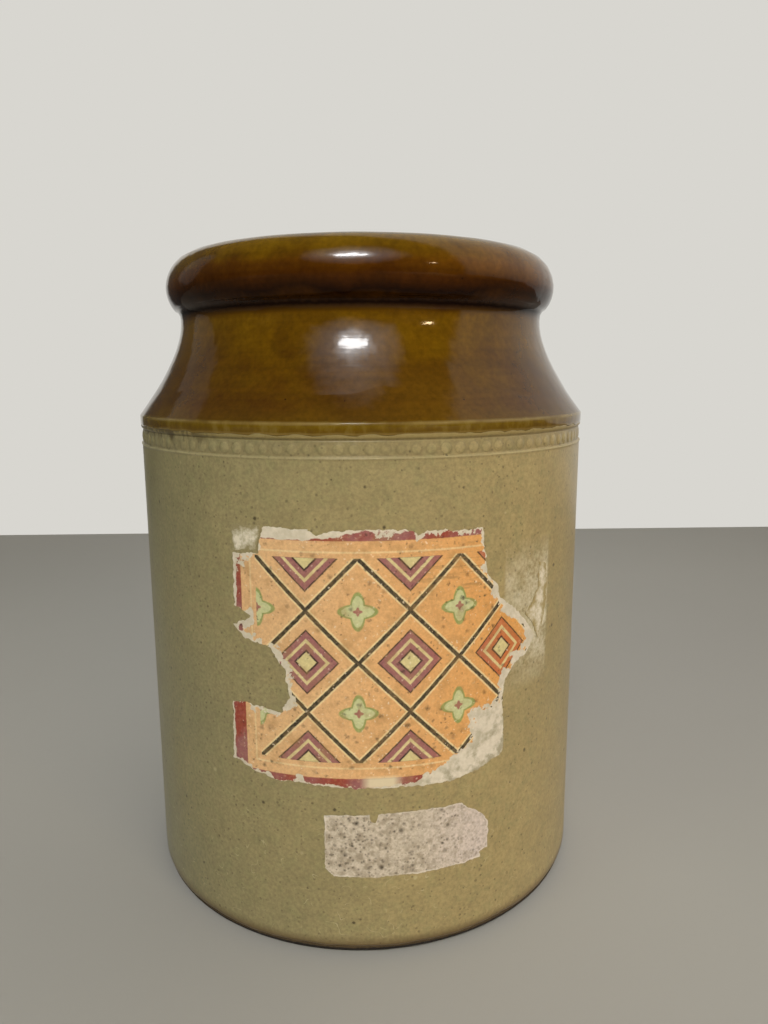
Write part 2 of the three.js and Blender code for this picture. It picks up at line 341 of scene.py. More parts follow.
# a flat sheet of that outline, cut into a fine grid, laid round the wall and given its thickness
def paperPiece(name, sheet):
    torn = tornLine(sheet)
    bpy.ops.object.select_all(action="DESELECT")
    bpy.ops.mesh.primitive_circle_add(vertices=len(torn), radius=10 * mm, fill_type="NGON")
    piece = bpy.context.object
    piece.name = piece.data.name = name
    for vertex, (a, z) in zip(piece.data.vertices, torn):
        vertex.co = (a * mm, 0, z * mm)
    bpy.ops.object.mode_set(mode="EDIT")
    for axis, direction in ((0, (1, 0, 0)), (1, (0, 0, 1))):
        lowest, highest = min(p[axis] for p in torn), max(p[axis] for p in torn)
        for i in range(1, int((highest - lowest) / sheet["grid"])):
            place = (lowest + (i + paste["gridShift"]) * sheet["grid"]) * mm
            bpy.ops.mesh.select_all(action="SELECT")
            bpy.ops.mesh.bisect(plane_co=[d * place for d in direction], plane_no=direction)
    bpy.ops.mesh.select_all(action="SELECT")
    bpy.ops.mesh.remove_doubles(threshold=0.01 * mm)
    bpy.ops.object.mode_set(mode="OBJECT")
    flat = np.zeros(len(piece.data.vertices) * 3)
    piece.data.vertices.foreach_get("co", flat)
    flat = flat.reshape(-1, 3)[:, [0, 2]] / mm
    start = np.array(torn)
    along = np.roll(start, -1, 0) - start
    nearest = np.full(len(flat), np.inf)
    for s, d in zip(start, along):  # distance to the torn line, for the white of the fibres
        share = np.clip(((flat - s) @ d) / (d @ d), 0, 1)
        nearest = np.minimum(nearest, np.hypot(*(flat - s - share[:, None] * d).T))
    mark = piece.data.attributes.new("fromEdge", "FLOAT", "POINT")
    mark.data.foreach_set("value", nearest.astype(np.float32))
    for vertex, (a, z) in zip(piece.data.vertices, flat):
        bubble = 0.5 + 0.5 * noise.noise((a / paste["bubble"], z / paste["bubble"], sheet["seed"]))
        radius = paste["radius"] + paste["lift"] * bubble
        vertex.co = (radius * math.sin(a / radius) * mm, -radius * math.cos(a / radius) * mm, z * mm)
    piece.data.update()
    if piece.data.polygons[0].normal.y > 0:
        piece.data.flip_normals()
    thicken = piece.modifiers.new("thickness", "SOLIDIFY")
    thicken.thickness, thicken.offset = paste["thick"] * mm, 1
    bpy.context.view_layer.objects.active = piece
    bpy.ops.object.modifier_apply(modifier="thickness")
    bpy.ops.object.shade_smooth_by_angle(angle=math.radians(paste["crisp"]))
    print(name, len(piece.data.polygons), "faces")
    return piece


mainLabel, weightLabel, cornerScrap, edgeScrap = [paperPiece(name, sheet) for name, sheet in papers.items()]
print("papers laid")

# settings that many nodes share: clouds are 1000 / scale mm across, from 0 to 1, and shading multiplies a colour
cloudy = {"Detail": 4, "Roughness": 0.58}
shading = {"out": 2, "data_type": "RGBA", "blend_type": "MULTIPLY"}


# scattered specks of one size as a mask: cells of 1000 / scale mm, of which a share holds a speck
def specks(tree, place, scale, share, inner, outer, depth):
    cells = addNode(tree, "TexVoronoi", {"Vector": place, "Scale": scale}, out="Distance")
    chance = addNode(tree, "SeparateColor", {0: cells.node.outputs["Color"]})
    chosen = addNode(tree, "Math", {0: chance, 1: share}, operation="LESS_THAN")
    size = addNode(tree, "Math", {0: chance.node.outputs["Green"], 1: 0.7, 2: 0.5}, operation="MULTIPLY_ADD")
    reach = addNode(tree, "Math", {0: cells, 1: size}, operation="DIVIDE")
    dot = addNode(tree, "MapRange", {0: reach, 1: inner, 2: outer, 3: depth, 4: 0})
    return addNode(tree, "Math", {0: dot, 1: chosen}, operation="MULTIPLY")


# a band of values as a mask, fading over soft at both ends
def band(tree, value, low, high, soft, depth):
    rise = addNode(tree, "MapRange", {0: value, 1: low - soft, 2: low + soft, 3: 0, 4: depth})
    fall = addNode(tree, "MapRange", {0: value, 1: high - soft, 2: high + soft, 3: 1, 4: 0})
    return addNode(tree, "Math", {0: rise, 1: fall}, operation="MULTIPLY")


# lays coats over a ground in turn, each a mask and a colour
def coated(tree, ground, *coats):
    colour = linearColour(ground) if isinstance(ground, str) else ground
    for mask, coat in coats:
        over = linearColour(coat) if isinstance(coat, str) else coat
        colour = addNode(tree, "Mix", {0: mask, 6: colour, 7: over}, out=2, data_type="RGBA")
    return colour


# a place moved about by clouds, for ragged shapes
def shaken(tree, place, scale, reach):
    cloud = addNode(tree, "TexNoise", {"Vector": place, "Scale": scale, **cloudy, "Detail": 3}, out="Color")
    spread = {0: cloud, 1: (reach, reach, reach), 2: (-reach / 2, -reach / 2, -reach / 2)}
    moved = addNode(tree, "VectorMath", spread, operation="MULTIPLY_ADD")
    return addNode(tree, "VectorMath", {0: place, 1: moved}, operation="ADD")


# place on the wall in millimetres: round it from the middle of the front, and up it
def wallPlace(tree, place, centre):
    x = addNode(tree, "SeparateXYZ", {0: place}, out="X")
    front = addNode(tree, "Math", {0: x.node.outputs["Y"], 1: -1}, operation="MULTIPLY")
    angle = addNode(tree, "Math", {0: x, 1: front}, operation="ARCTAN2")
    along = addNode(tree, "Math", {0: angle, 1: paste["radius"], 2: -centre[0]}, operation="MULTIPLY_ADD")
    up = addNode(tree, "Math", {0: x.node.outputs["Z"], 1: 1000, 2: -centre[1]}, operation="MULTIPLY_ADD")
    return along, up


# iron amber glaze, dipped and fired: glassy, olive where thin, red-brown to black where it pooled, and darkened under
# the lip and in the crease as painted shade
def ironGlaze():
    material, tree = newMaterial("ironAmberGlaze")
    place = addNode(tree, "TexCoord", out="Object")
    height = addNode(tree, "SeparateXYZ", {0: place}, out="Z")
    across = height.node.outputs["X"]
    cloud, patch, fine = [addNode(tree, "TexNoise", {"Vector": place, "Scale": scale, **cloudy})
                          for scale in (60, 90, 620)]  # 17 mm drifts, 11 mm patches, 1.6 mm mottle
    drift = addNode(tree, "Math", {0: cloud, 1: 0.008, 2: -0.004}, operation="MULTIPLY_ADD")
    wavy = addNode(tree, "Math", {0: height, 1: drift}, operation="ADD")
    up = addNode(tree, "MapRange", {0: wavy, 1: 0.157, 2: 0.2086})
    # colour up the jar; the dark stops round the crease and under the lip and the paler lip top are partly the glaze's
    # own colour and partly painted shade and painted dark reflection
    colour = addNode(tree, "ValToRGB", {0: up}, stops=[
        (0.0, "#52390a"), (0.1, "#482c05"), (0.28, "#4c3002"), (0.42, "#583b01"), (0.56, "#5a3d01"),
        (0.63, "#3e2200"), (0.69, "#180700"), (0.76, "#3d1e01"), (0.83, "#4c2b01"), (0.89, "#563b01"),
        (0.95, "#674b05"), (1.0, "#664d0c")])
    # the underside of the lip, kept free of golden patches so that it stays dark as painted shade
    underLip = band(tree, height, 0.189, 0.1985, 0.0025, 0.8)
    golden = addNode(tree, "MapRange", {0: patch, 1: 0.45, 2: 0.75, 3: 0, 4: 0.25})
    golden = addNode(tree, "Math", {0: golden, 1: underLip}, operation="SUBTRACT", use_clamp=True)
    side = addNode(tree, "MapRange", {0: across, 1: 0.008, 2: 0.04, 3: 0, 4: 0.55})
    lipFace = band(tree, height, 0.1972, 0.206, 0.0015, 1)
    rightLip = addNode(tree, "Math", {0: side, 1: lipFace}, operation="MULTIPLY")  # thinner there, so more golden
    brown = addNode(tree, "MapRange", {0: cloud, 1: 0.34, 2: 0.52, 3: 0.4, 4: 0})
    frontRight = band(tree, across, 0.0, 0.034, 0.014, 0.6)
    lowShoulder = band(tree, wavy, 0.157, 0.171, 0.004, 1)
    rightLow = addNode(tree, "Math", {0: frontRight, 1: lowShoulder}, operation="MULTIPLY")
    colour = coated(tree, colour, (golden, "#735603"), (rightLip, "#684206"), (brown, "#331a02"), (rightLow, "#5c3f07"))
    flat = addNode(tree, "Mapping", {0: place, 3: (16, 16, 520)})
    ring = addNode(tree, "TexNoise", {"Vector": flat, "Scale": 1, **cloudy, "Detail": 2})  # 2 mm throwing rings
    shade = addNode(tree, "MapRange", {0: ring, 1: 0.3, 2: 0.7, 3: 0.9, 4: 1.08})
    mottle = addNode(tree, "MapRange", {0: fine, 1: 0.3, 2: 0.7, 3: 0.81, 4: 1.16})
    light = addNode(tree, "Math", {0: shade, 1: mottle}, operation="MULTIPLY")
    colour = addNode(tree, "Mix", {0: 1.0, 6: colour, 7: light}, **shading)
    nudge = addNode(tree, "Math", {0: fine, 1: 0.0012, 2: -0.0006}, operation="MULTIPLY_ADD")
    edge = addNode(tree, "Math", {0: height, 1: nudge}, operation="ADD")
    pooled = band(tree, edge, 0.1881, 0.1906, 0.0011, 0.95)  # dark glaze gathered under the lip, made near black as painted shade of the lip

    # skirt under the shoulder: worn pale on the edge, golden, then thin and broken where the run stopped
    onSkirt = addNode(tree, "MapRange", {0: edge, 1: 0.1580, 2: 0.1574})
    tone = addNode(tree, "MapRange", {0: edge, 1: 0.1538, 2: 0.1578})
    gold = addNode(tree, "ValToRGB", {0: tone}, stops=[
        (0.0, "#61480a"), (0.3, "#5b4100"), (0.5, "#5f4600"), (0.7, "#664f0c"), (1.0, "#5a4311")])
    runPlace = addNode(tree, "Mapping", {0: place, 3: (330, 330, 190)})
    run = addNode(tree, "TexNoise", {"Vector": runPlace, "Scale": 1, **cloudy, "Detail": 5})  # 3 mm runs
    darkRun = addNode(tree, "MapRange", {0: run, 1: 0.46, 2: 0.68, 3: 0, 4: 0.6})
    paleRun = addNode(tree, "MapRange", {0: run, 1: 0.48, 2: 0.34, 3: 0, 4: 0.3})
    stop = addNode(tree, "Attribute", out="Fac", attribute_name="runEdge")
    thin = addNode(tree, "MapRange", {0: stop, 1: 0.0, 2: 0.55, 3: 0.75, 4: 0})
    gold = coated(tree, gold, (darkRun, "#4b3303"), (paleRun, "#7d6a34"), (thin, "#806b36"))
    turned = band(tree, edge, 0.1630, 0.1633, 0.0004, 0.28)  # a turning line low on the shoulder
    wear = addNode(tree, "MapRange", {0: patch, 1: 0.35, 2: 0.6, 3: 0.25, 4: 0.85})
    corner = band(tree, height, 0.1570, 0.1575, 0.0004, 1.0)
    worn = addNode(tree, "Math", {0: wear, 1: corner}, operation="MULTIPLY")
    iron = specks(tree, place, 190, 0.4, 0.03, 0.07, 0.8)  # 0.3 mm
    pinhole = specks(tree, place, 70, 0.05, 0.014, 0.022, 0.9)
    # the crease near black: pooled glaze and painted shade
    colour = coated(tree, colour, (pooled, "#0c0301"), (onSkirt, gold), (turned, "#2a1602"), (worn, "#8c7846"),
                    (iron, "#150a03"), (pinhole, "#c9bb94"))

    swell, ripple = [addNode(tree, "TexNoise", {"Vector": place, "Scale": scale, **cloudy, "Detail": 2})
                     for scale in (100, 330)]  # 10 mm and 3 mm
    relief = addNode(tree, "Math", {0: ring, 1: 0.08, 2: swell}, operation="MULTIPLY_ADD")
    relief = addNode(tree, "Math", {0: ripple, 1: 0.07, 2: relief}, operation="MULTIPLY_ADD")
    bump = addNode(tree, "Bump", {"Height": relief, "Strength": 0.6, "Distance": 0.0003}, out="Normal")
    gloss = addNode(tree, "MapRange", {0: fine, 1: 0.3, 2: 0.7, 3: 0.06, 4: 0.11})
    dull = addNode(tree, "Math", {0: pooled, 1: underLip}, operation="MAXIMUM")
    shine = addNode(tree, "MapRange", {0: dull, 1: 0.0, 2: 1.0, 3: 0.34, 4: 0.04})  # dust in the crease, under the lip
    shader = addNode(tree, "BsdfPrincipled", {"Base Color": colour, "Roughness": gloss, "IOR": 1.54,
                                              "Specular IOR Level": shine, "Normal": bump})
    addNode(tree, "OutputMaterial", {"Surface": shader})
    return material


# clear satin glaze over speckled buff stoneware: olive on the left to tan on the right as painted light, iron specks
# from the clay, dulled by wear
def clearGlaze(name, cool, warm, outside):
    material, tree = newMaterial(name)
    place = addNode(tree, "TexCoord", out="Object")
    cloud, patch, fine = [addNode(tree, "TexNoise", {"Vector": place, "Scale": scale, **cloudy})
                          for scale in (18, 130, 950)]  # 55 mm kiln drifts, 8 mm patches, 1 mm grain
    side = addNode(tree, "SeparateXYZ", {0: place}, out="X")
    # darker olive on the left and lighter tan on the right: painted shade away from the warm lamp and painted warm
    # lamplight, with random kiln drifts
    across = addNode(tree, "MapRange", {0: side, 1: -0.066, 2: 0.054})
    kiln = addNode(tree, "Math", {0: cloud, 1: 0.9, 2: -0.45}, operation="MULTIPLY_ADD")
    litSideAndKiln = addNode(tree, "Math", {0: across, 1: kiln}, operation="ADD", use_clamp=True)
    olive = addNode(tree, "TexNoise", {"Vector": place, "Scale": 300, **cloudy, "Detail": 3})  # 3 mm
    green = addNode(tree, "MapRange", {0: olive, 1: 0.45, 2: 0.7, 3: 0, 4: 0.35})
    colour = coated(tree, cool, (litSideAndKiln, warm), (green, "#7f7c52"))
    grain = addNode(tree, "MapRange", {0: fine, 1: 0.3, 2: 0.7, 3: 0.8, 4: 1.18})
    blotch = addNode(tree, "MapRange", {0: patch, 1: 0.3, 2: 0.7, 3: 0.92, 4: 1.07})
    light = addNode(tree, "Math", {0: grain, 1: blotch}, operation="MULTIPLY")
    colour = addNode(tree, "Mix", {0: 1.0, 6: colour, 7: light}, **shading)
    rough = shaken(tree, place, 1500, 0.0005)
    sizes = ((190, 0.45, 0.055, 0.13, 0.9), (330, 0.5, 0.06, 0.16, 0.7), (620, 0.45, 0.1, 0.28, 0.5))
    iron = [(specks(tree, rough, *size), "#382c16") for size in sizes]
    chips = specks(tree, rough, 150, 0.15, 0.05, 0.12, 0.45)
    colour = coated(tree, colour, *iron, (chips, "#c2b58c"))
    if outside:
        colour = wallMarks(tree, place, colour, patch, fine)
    bump = addNode(tree, "Bump", {"Height": fine, "Strength": 0.3, "Distance": 0.0001}, out="Normal")
    gloss = addNode(tree, "MapRange", {0: cloud, 1: 0.3, 2: 0.7, 3: 0.3, 4: 0.4})
    shader = addNode(tree, "BsdfPrincipled", {"Base Color": colour, "Roughness": gloss, "IOR": 1.5, "Normal": bump})
    addNode(tree, "OutputMaterial", {"Surface": shader})
    return material


# what only the outer wall has: bead tops paler, thin glaze and painted highlight, bead rims and gaps darker, pooled
# glaze and painted shade, runs, paste, scratches and a foot stain
def wallMarks(tree, place, colour, patch, fine):
    along, up = wallPlace(tree, place, (0, 0))
    bead = addNode(tree, "Attribute", out="Fac", attribute_name="bead")
    # the field between the beads and the rims round them darker, as pooled glaze and painted shade, and the bead tops
    # paler, as thin glaze and a painted highlight
    field = band(tree, up, 148.6, 152.5, 0.1, 0.22)
    hollow = addNode(tree, "MapRange", {0: bead, 1: 0.05, 2: 0.45, 3: 1, 4: 0})
    beadGapGlazeAndShade = addNode(tree, "Math", {0: field, 1: hollow}, operation="MULTIPLY")
    beadRimGlazeAndShade = band(tree, bead, 0.1, 0.4, 0.1, 0.26)
    beadTopGlazeAndHighlight = addNode(tree, "MapRange", {0: bead, 1: 0.6, 2: 1.1, 3: 0, 4: 0.1})
    nudge = addNode(tree, "Math", {0: fine, 1: 0.3, 2: -0.15}, operation="MULTIPLY_ADD")
    edge = addNode(tree, "Math", {0: up, 1: nudge}, operation="ADD")
    # under the run edge a strip of buff glaze, the groove darker with dirt and painted shade, and a paler line along
    # the ridge as a painted highlight
    lines = ((153.2, 155.0, 0.6, "#84703b"), (152.65, 153.1, 0.55, "#5c4b20"), (147.95, 148.3, 0.4, "#b8ab80"))
    pressed = [(band(tree, edge, low, high, 0.15, depth), code) for low, high, depth, code in lines]

    # amber that ran on down between the beads at the left
    streak = addNode(tree, "Mapping", {0: place, 3: (420, 420, 60)})
    dribble = addNode(tree, "TexNoise", {"Vector": streak, "Scale": 1, **cloudy, "Detail": 2})
    dribble = addNode(tree, "Math", {0: dribble, 1: 12.0, 2: up}, operation="MULTIPLY_ADD")
    ran = addNode(tree, "MapRange", {0: dribble, 1: 158.6, 2: 160.0, 3: 0, 4: 0.8})
    ran = addNode(tree, "Math", {0: ran, 1: band(tree, along, -112, -48, 9, 1)}, operation="MULTIPLY")

    # dried paste and fibres where more of the sheet used to be
    fibre = addNode(tree, "Math", {0: patch, 1: 0.7}, operation="MULTIPLY")
    fibre = addNode(tree, "Math", {0: fine, 1: 0.5, 2: fibre}, operation="MULTIPLY_ADD")
    film = addNode(tree, "MapRange", {0: fibre, 1: 0.47, 2: 0.72, 3: 0, 4: 0.85})
    sideFade = addNode(tree, "MapRange", {0: along, 1: 44, 2: 60, 3: 0.5, 4: 1})
    for share in (band(tree, along, 43, 63.2, 0.5, 1), band(tree, up, 82, 117, 6, 1), sideFade):
        film = addNode(tree, "Math", {0: film, 1: share}, operation="MULTIPLY")

    # short pale scratches low on the wall, and a brown stain round the foot, darkened as painted shade towards the
    # floor
    wander, gaps = [addNode(tree, "TexNoise", {"Vector": place, "Scale": scale, **cloudy, "Detail": 1})
                    for scale in (170, 260)]  # 6 mm and 4 mm
    line = addNode(tree, "Math", {0: wander, 1: 0.5}, operation="SUBTRACT")
    line = addNode(tree, "Math", {0: line}, operation="ABSOLUTE")
    scratch = addNode(tree, "MapRange", {0: line, 1: 0.0, 2: 0.006, 3: 0.6, 4: 0})
    here = addNode(tree, "MapRange", {0: gaps, 1: 0.56, 2: 0.6})
    lower = addNode(tree, "MapRange", {0: up, 1: 30, 2: 60, 3: 1, 4: 0.1})
    for share in (here, lower):
        scratch = addNode(tree, "Math", {0: scratch, 1: share}, operation="MULTIPLY")
    # brown round the foot and deepened near the floor as painted shade
    stain = addNode(tree, "MapRange", {0: edge, 1: 3.2, 2: 6.5, 3: 0.85, 4: 0})
    return coated(tree, colour, (beadGapGlazeAndShade, "#65583a"), (beadRimGlazeAndShade, "#5e5132"), (beadTopGlazeAndHighlight, "#b3a679"), *pressed,
                  (ran, "#3f2f0c"), (film, "#cfc5ab"), (scratch, "#c6ba92"), (stain, "#543f20"))


# bare stoneware, wire-cut and fired: matt, sandy, browned where the kiln's fire reached it, with a painted shadow round
# the foot where it meets the floor
def bareClay():
    material, tree = newMaterial("bareStoneware")
    place = addNode(tree, "TexCoord", out="Object")
    cloud = addNode(tree, "TexNoise", {"Vector": place, "Scale": 40, **cloudy, "Detail": 5})  # 25 mm
    grit = addNode(tree, "TexNoise", {"Vector": place, "Scale": 1100, **cloudy})  # 0.9 mm grog
    colour = coated(tree, "#6d5637", (cloud, "#8f7750"))
    sand = addNode(tree, "MapRange", {0: grit, 1: 0.3, 2: 0.7, 3: 0.82, 4: 1.14})
    colour = addNode(tree, "Mix", {0: 1.0, 6: colour, 7: sand}, **shading)
    iron = specks(tree, place, 300, 0.35, 0.06, 0.14, 0.8)
    height = addNode(tree, "SeparateXYZ", {0: place}, out="Z")
    nudge = addNode(tree, "Math", {0: grit, 1: 0.001, 2: height}, operation="MULTIPLY_ADD")
    # near black over the foot's lowest few millimetres: painted shadow where the foot meets the floor
    dark, faint = band(tree, nudge, 0.0004, 0.0028, 0.0004, 0.97), band(tree, nudge, 0, 0.0038, 0.0004, 0.7)
    contactShadow = addNode(tree, "Math", {0: dark, 1: faint}, operation="MAXIMUM")
    colour = coated(tree, colour, (iron, "#32230f"), (contactShadow, "#100a05"))
    wire = addNode(tree, "TexWave", {"Vector": place, "Scale": 120, "Distortion": 4, "Detail": 2}, out="Fac")
    relief = addNode(tree, "Math", {0: grit, 1: wire}, operation="ADD")  # sand over the arcs of the wire
    bump = addNode(tree, "Bump", {"Height": relief, "Strength": 0.4, "Distance": 0.0002}, out="Normal")
    shader = addNode(tree, "BsdfPrincipled", {"Base Color": colour, "Roughness": 0.85, "IOR": 1.5, "Normal": bump})
    addNode(tree, "OutputMaterial", {"Surface": shader})
    return material


# the printed sheet in millimetres from its middle: half sizes of the frame and the field, and half a lozenge
printed = {"middle": (12.7, 91.5), "frame": (51.9, 38.0), "field": (43.6, 29.7), "lozenge": (14.5, 14.8)}


# lithographed label paper, about a century old: faded inks, foxing, torn white fibre at the edges
def printedPaper():
    material, tree = newMaterial("printedLabelPaper")
    place = addNode(tree, "TexCoord", out="Object")
    rough = shaken(tree, place, 900, 0.0016)
    along, up = wallPlace(tree, shaken(tree, place, 700, 0.0003), printed["middle"])
    sideways, upDown = [addNode(tree, "Math", {0: way}, operation="ABSOLUTE") for way in (along, up)]
    cloud, coarse, fine, frayed = [
        addNode(tree, "TexNoise", {"Vector": place, "Scale": scale, **cloudy, "Detail": detail})
        for scale, detail in ((70, 4), (230, 6), (800, 5), (480, 4))]  # 14 mm stains, 4 mm wear, 1.2 mm fibre, 2 mm
    warm = addNode(tree, "MapRange", {0: along, 1: -30, 2: 30})
    colour = coated(tree, "#cfa473", (warm, "#d0944f"))

    # all-over trellis of dark lines with plum lozenges, orange to the right, and four-petalled green flowers
    inField = [addNode(tree, "Math", {0: half, 1: way}, operation="SUBTRACT")
               for half, way in zip(printed["field"], (sideways, upDown))]
    inField = addNode(tree, "Math", {0: inField[0], 1: inField[1]}, operation="MINIMUM")
    inField = addNode(tree, "MapRange", {0: inField, 1: -0.1, 2: 0.1})
    grip = addNode(tree, "MapRange", {0: fine, 1: 0.36, 2: 0.5, 3: 1, 4: 0.95})  # ink that took unevenly
    inked = addNode(tree, "Math", {0: inField, 1: grip}, operation="MULTIPLY")
    wide, tall = printed["lozenge"]
    across = addNode(tree, "Math", {0: sideways, 1: wide}, operation="PINGPONG")
    down = addNode(tree, "Math", {0: upDown, 1: tall}, operation="PINGPONG")
    lozenge = addNode(tree, "Math", {0: across, 1: 1 / wide}, operation="MULTIPLY")
    lozenge = addNode(tree, "Math", {0: down, 1: 1 / tall, 2: lozenge}, operation="MULTIPLY_ADD")
    turning = addNode(tree, "MapRange", {0: along, 1: 4, 2: 30})
    plum = coated(tree, "#945f5c", (turning, "#bd6a38"))
    rings = ((0.91, 1.09, "#dcc490"), (0.955, 1.045, "#140d08"), (0.0, 0.64, "#2c1c14"), (0.0, 0.6, plum),
             (0.4, 0.46, "#cdbd85"), (0.0, 0.25, "#2c1c14"), (0.0, 0.2, "#cdbd85"))
    shapes = [(band(tree, lozenge, inner - 0.02, outer, 0.012, 0.97), code) for inner, outer, code in rings]
    gapAcross = addNode(tree, "Math", {0: wide, 1: across}, operation="SUBTRACT")
    gapDown = addNode(tree, "Math", {0: tall, 1: down}, operation="SUBTRACT")
    spot = addNode(tree, "CombineXYZ", {0: gapAcross, 1: gapDown})
    petals = []
    for width, length in ((5.6, 2.2), (2.2, 5.6)):
        oval = addNode(tree, "VectorMath", {0: spot, 1: (1 / width, 1 / length, 0)}, operation="MULTIPLY")
        petals.append(addNode(tree, "VectorMath", {0: oval}, out="Value", operation="LENGTH"))
    flower = addNode(tree, "Math", {0: petals[0], 1: petals[1]}, operation="MINIMUM")
    for reach, code in ((1.0, "#7d8f4f"), (0.8, "#bdbd8c"), (0.24, "#93504a")):
        shapes.append((addNode(tree, "MapRange", {0: flower, 1: reach - 0.04, 2: reach + 0.04, 3: 0.92, 4: 0}), code))
    for shape, code in shapes:
        colour = coated(tree, colour, (addNode(tree, "Math", {0: shape, 1: inked}, operation="MULTIPLY"), code))

    # frame: a red-brown border, turned mauve at the top, and a cream hairline inside it
    toFrame = [addNode(tree, "Math", {0: half, 1: way}, operation="SUBTRACT")
               for half, way in zip(printed["frame"], (sideways, upDown))]
    toFrame = addNode(tree, "Math", {0: toFrame[0], 1: toFrame[1]}, operation="MINIMUM")
    hairline = band(tree, toFrame, 6.4, 6.9, 0.15, 0.6)
    mauve = addNode(tree, "MapRange", {0: cloud, 1: 0.42, 2: 0.58})
    ink = coated(tree, "#8c3b2c", (mauve, "#8f5a55"))
    border = addNode(tree, "MapRange", {0: toFrame, 1: 3.4, 2: 3.65, 3: 1, 4: 0})

    # age: ink rubbed thin, white flecks, wrinkles, brown stains, mould
    fade = addNode(tree, "MapRange", {0: fine, 1: 0.48, 2: 0.8, 3: 0, 4: 0.2})
    scuffed = addNode(tree, "MapRange", {0: coarse, 1: 0.38, 2: 0.56, 3: 0.25, 4: 1})
    sizes = ((300, 0.12, 0.05, 0.13, 0.8), (480, 0.25, 0.08, 0.2, 0.75), (900, 0.4, 0.12, 0.28, 0.6))
    flecks = [(addNode(tree, "Math", {0: specks(tree, rough, *size), 1: scuffed}, operation="MULTIPLY"), "#e3d5ba")
              for size in sizes]
    colour = coated(tree, colour, (hairline, "#dcc696"), (border, ink), (fade, "#dcb988"), *flecks)
    weave = addNode(tree, "TexNoise", {"Vector": place, "Scale": 1300, **cloudy})
    weave = addNode(tree, "MapRange", {0: weave, 1: 0.3, 2: 0.7, 3: 0.86, 4: 1.1})
    colour = addNode(tree, "Mix", {0: 1.0, 6: colour, 7: weave}, **shading)
    pulled = addNode(tree, "Mapping", {0: place, 3: (90, 90, 900)})
    creased = addNode(tree, "TexNoise", {"Vector": pulled, "Scale": 1, **cloudy})  # 1 mm wrinkles
    wrinkle = addNode(tree, "MapRange", {0: creased, 1: 0.54, 2: 0.66, 3: 0, 4: 0.55})
    for share in (band(tree, up, 16, 34, 5, 1), band(tree, along, 2, 30, 8, 1)):  # at the upper right
        wrinkle = addNode(tree, "Math", {0: wrinkle, 1: share}, operation="MULTIPLY")
    stain = addNode(tree, "MapRange", {0: coarse, 1: 0.5, 2: 0.72, 3: 0, 4: 0.5})
    crowd = addNode(tree, "MapRange", {0: cloud, 1: 0.36, 2: 0.58, 3: 0.5, 4: 1})
    sizes = ((130, 0.5, 0.01, 0.19, 0.7), (190, 0.5, 0.03, 0.2, 0.85), (330, 0.5, 0.04, 0.26, 0.8),
             (620, 0.45, 0.1, 0.3, 0.6))
    mould = [(addNode(tree, "Math", {0: specks(tree, rough, *size), 1: crowd}, operation="MULTIPLY"), "#2a1e14")
             for size in sizes]
    leftOfMiddle, lowEdge = band(tree, along, -13, -3.5, 1.5, 0.85), band(tree, up, -37.6, -34.2, 0.7, 1)
    bleached = addNode(tree, "Math", {0: leftOfMiddle, 1: lowEdge}, operation="MULTIPLY")
    colour = coated(tree, colour, (wrinkle, "#8a6a3e"), (stain, "#94703f"), *mould, (bleached, "#d6c7a2"))

    # white paper where the print has gone: torn edges, rubbed border, the split lower right corner
    edge = addNode(tree, "Attribute", out="Fac", attribute_name="fromEdge")
    wander = addNode(tree, "MapRange", {0: coarse, 1: 0.32, 2: 0.7, 3: -1.9, 4: 3.4})
    cutEdge = addNode(tree, "MapRange", {0: toFrame, 1: 1.0, 2: 4.5, 3: 0.35, 4: 1})
    rightEdge = addNode(tree, "MapRange", {0: along, 1: 20, 2: 34, 3: 0, 4: 1.7})
    wander = addNode(tree, "Math", {0: wander, 1: cutEdge, 2: rightEdge}, operation="MULTIPLY_ADD")
    fibre = addNode(tree, "Math", {0: fine, 1: 1.6, 2: wander}, operation="MULTIPLY_ADD")
    bare = addNode(tree, "Math", {0: fibre, 1: edge}, operation="SUBTRACT")
    lost = addNode(tree, "MapRange", {0: bare, 1: 0.5, 2: 0.75})
    ragged = addNode(tree, "Math", {0: coarse, 1: 7, 2: -3.5}, operation="MULTIPLY_ADD")
    topLine = addNode(tree, "MapRange", {0: along, 1: -28, 2: 2, 3: 34.6, 4: 38.6})
    topOver = addNode(tree, "Math", {0: up, 1: topLine}, operation="SUBTRACT")
    leftLine = addNode(tree, "MapRange", {0: up, 1: -12, 2: 12, 3: -52.5, 4: -50.0})
    leftOver = addNode(tree, "Math", {0: leftLine, 1: along}, operation="SUBTRACT")
    slope = addNode(tree, "Math", {0: -27.5, 1: up}, operation="SUBTRACT")
    slope = addNode(tree, "Math", {0: slope, 1: 0.0}, operation="MAXIMUM")
    cornerLine = addNode(tree, "Math", {0: slope, 1: -1.95, 2: 18.8}, operation="MULTIPLY_ADD")
    cornerOver = addNode(tree, "Math", {0: along, 1: cornerLine}, operation="SUBTRACT")
    cornerLow = addNode(tree, "Math", {0: -17.0, 1: up}, operation="SUBTRACT")
    cornerOver = addNode(tree, "Math", {0: cornerOver, 1: cornerLow}, operation="MINIMUM")
    frayed = addNode(tree, "Math", {0: frayed, 1: 9, 2: -4.5}, operation="MULTIPLY_ADD")
    cornerTorn = addNode(tree, "Math", {0: frayed, 1: cornerOver}, operation="ADD")
    for over, share in ((topOver, 0.5), (leftOver, 0.4), (cornerTorn, 1.2)):
        over = addNode(tree, "Math", {0: ragged, 1: share, 2: over}, operation="MULTIPLY_ADD")
        gone = addNode(tree, "MapRange", {0: over, 1: -0.15, 2: 0.15})
        lost = addNode(tree, "Math", {0: lost, 1: gone}, operation="MAXIMUM")
    thinned = addNode(tree, "MapRange", {0: coarse, 1: 0.46, 2: 0.6, 3: 0, 4: 0.8})  # the glaze grey through it
